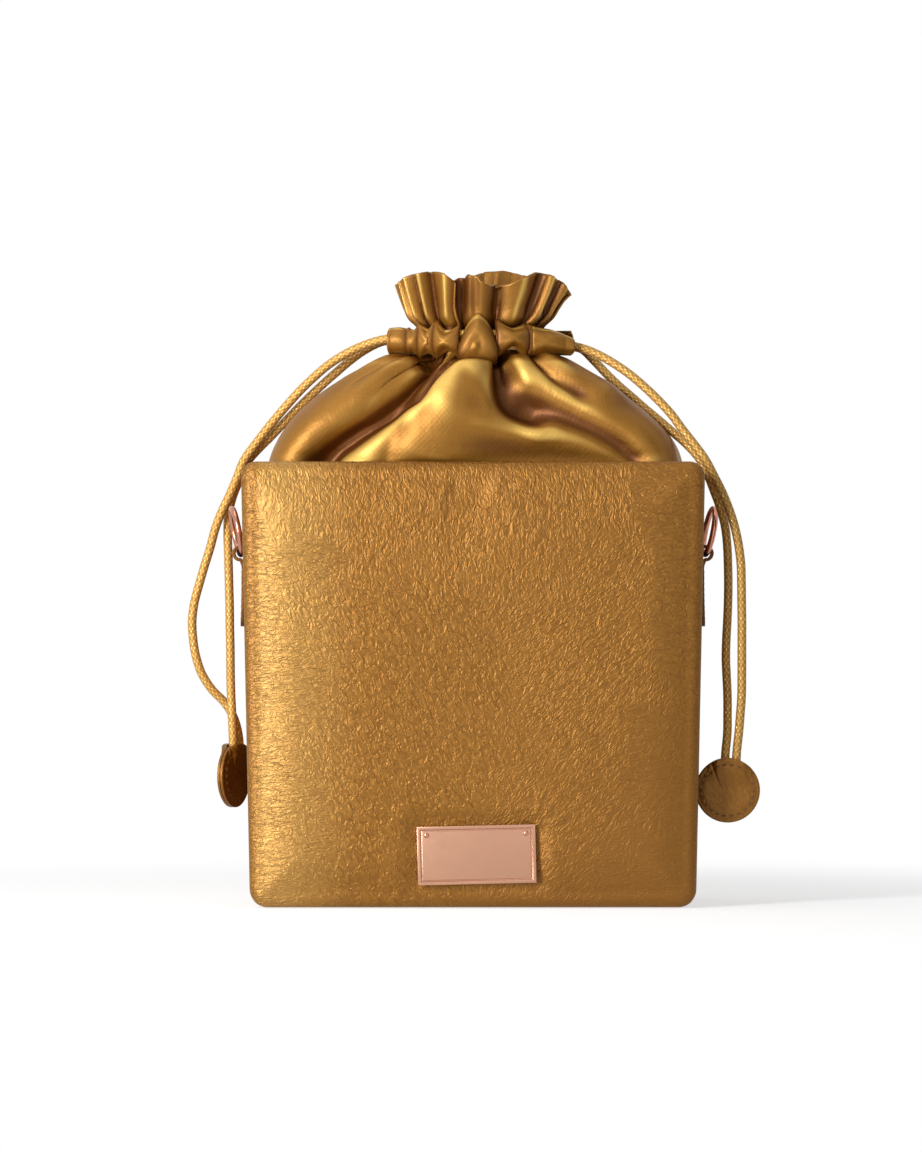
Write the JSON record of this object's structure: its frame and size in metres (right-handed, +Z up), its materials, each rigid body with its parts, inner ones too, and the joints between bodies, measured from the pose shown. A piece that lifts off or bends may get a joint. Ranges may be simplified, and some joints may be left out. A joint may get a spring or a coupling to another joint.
{
  "type": "potli bag",
  "caption": "Stiff leather-covered box bag with a gathered satin drawstring pouch rising from its open top, side strap rings on leather tabs and round leather cord stoppers",
  "frame": {"origin": "middle of the flat base, on the surface that the bag stands on", "axes": "+Z up from the base to the pouch's mouth, -Y the front face with the plate, +X to the right as the front is seen"},
  "size_m": [0.2265, 0.078, 0.2475],
  "materials": {
    "gold_leather": "metallic gold, pebbled grain, soft sheen",
    "gold_satin": "metallic gold satin",
    "gold_cord": "braided cord with a metallic thread",
    "rose_gold": "polished rose-gold plating",
    "grey_board": "plain grey board",
    "white_foam": "plain foam sheet"
  },
  "bodies": {
    "bag": {"front_cover": "gold_leather", "back_cover": "gold_leather", "gusset": "gold_leather", "base_panel": "gold_leather", "front_pad": "white_foam", "back_pad": "white_foam", "front_board": "grey_board", "back_board": "grey_board", "left_board": "grey_board", "right_board": "grey_board", "base_board": "grey_board", "lining": "gold_satin", "pouch_sleeve": "gold_satin", "casing_front": "gold_satin", "casing_back": "gold_satin", "drawstring_left": "gold_cord", "drawstring_right": "gold_cord", "stopper_left_face": "gold_leather", "stopper_left_back": "gold_leather", "stopper_right_face": "gold_leather", "stopper_right_back": "gold_leather", "tab_left": "gold_leather", "tab_right": "gold_leather", "name_plate": "rose_gold", "plate_pin_left": "rose_gold", "plate_pin_right": "rose_gold"},
    "left_ring": {"ring_left": "rose_gold"},
    "right_ring": {"ring_right": "rose_gold"}
  },
  "joints": [
    {"name": "left_ring_swing", "type": "hinge", "parent": "bag", "child": "left_ring", "pos_m": [-0.09201, 0, 0.1385], "axis": [0, -1, 0], "range_deg": [-12, 160]},
    {"name": "right_ring_swing", "type": "hinge", "parent": "bag", "child": "right_ring", "pos_m": [0.09201, 0, 0.1385], "axis": [0, 1, 0], "range_deg": [-12, 160]}
  ]
}
